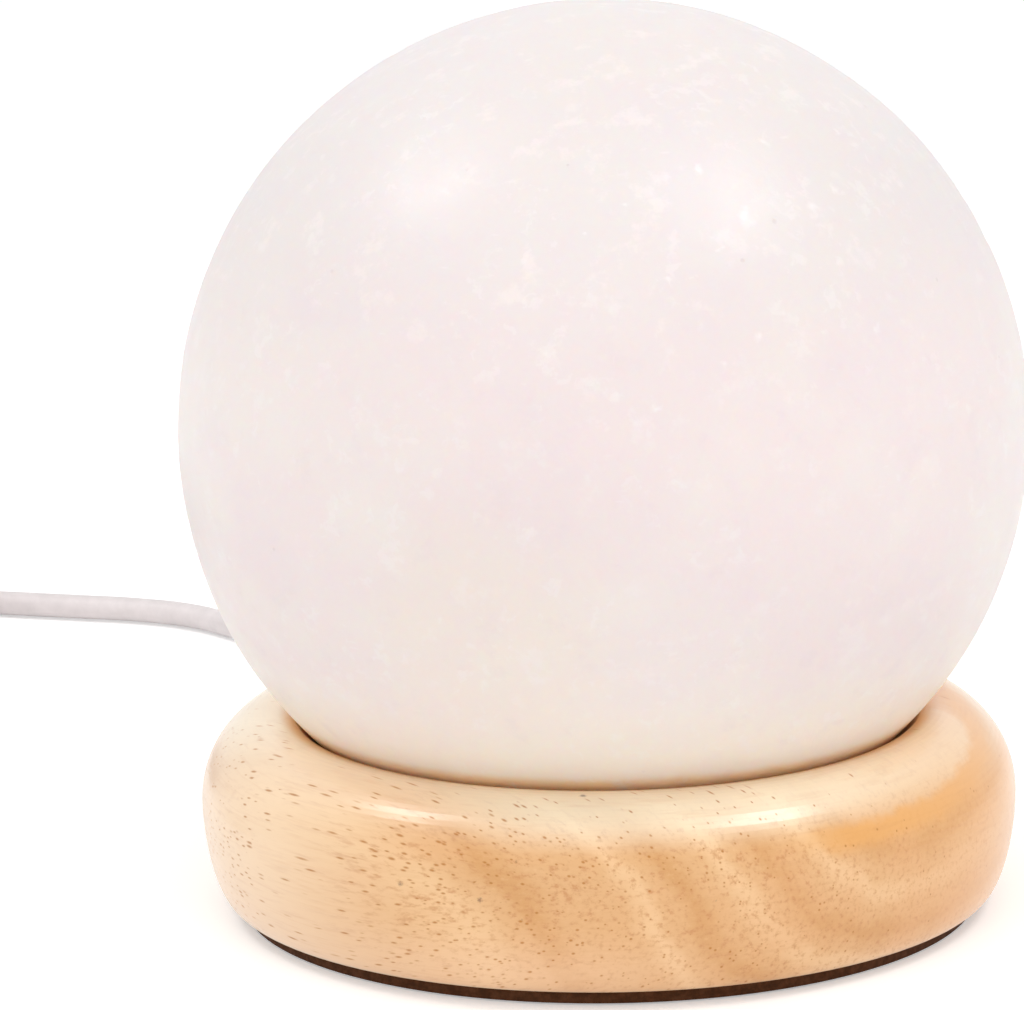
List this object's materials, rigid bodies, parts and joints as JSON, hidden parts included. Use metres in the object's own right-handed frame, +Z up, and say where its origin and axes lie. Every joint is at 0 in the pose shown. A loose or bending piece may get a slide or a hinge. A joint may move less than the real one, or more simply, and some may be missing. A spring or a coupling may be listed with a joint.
{
  "type": "salt lamp",
  "caption": "Small USB salt lamp: ground white salt ball lying loose in a dished turned wooden base, with LED module and thin cord.",
  "frame": {"origin": "middle of the underside of the pad under the wooden base, where the lamp stands", "axes": "+Z up along the axis of the ball and the base; the cord leaves the base towards +Y, so the front is -Y; +X is to the right seen from the front"},
  "size_m": [0.17, 0.1788, 0.0964],
  "materials": {
    "salt": "ground and lightly polished, faintly translucent white salt",
    "wood": "light rubberwood, satin lacquer",
    "pad": "dark felt",
    "white_plastic": "moulded",
    "milky_plastic": "translucent, frosted",
    "board": "white solder mask",
    "chip": "phosphor gel in a white frame",
    "resistor": "black with plated ends",
    "solder": "bright tin",
    "red_wire": "PVC insulation",
    "black_wire": "PVC insulation",
    "screw_steel": "zinc plated",
    "cord": "soft white PVC",
    "tie": "plastic-coated wire",
    "plug_metal": "nickel plated sheet",
    "contact": "gold plated"
  },
  "bodies": {
    "base": {"wood_base": "wood", "base_pad": "pad", "led_holder": "white_plastic", "holder_screws": "screw_steel", "led_board": "board", "led_chips": "chip", "board_resistors": "resistor", "solder_joints": "solder", "led_dome": "milky_plastic", "wire_positive": "red_wire", "wire_negative": "black_wire", "cord_inner": "cord", "cord_stop_tie": "white_plastic", "cord_grommet": "cord", "power_cord": "cord", "cord_coil": "cord", "coil_tie": "tie", "plug_lead": "cord", "usb_plug_grip": "cord", "usb_plug_shell": "plug_metal", "usb_plug_tongue": "white_plastic", "usb_plug_contacts": "contact"},
    "ball": {"salt_ball": "salt"}
  },
  "joints": [
    {"name": "ball_lift", "type": "slide", "parent": "base", "child": "ball", "axis": [0, 0, 1], "range_m": [0, 0.05]}
  ]
}
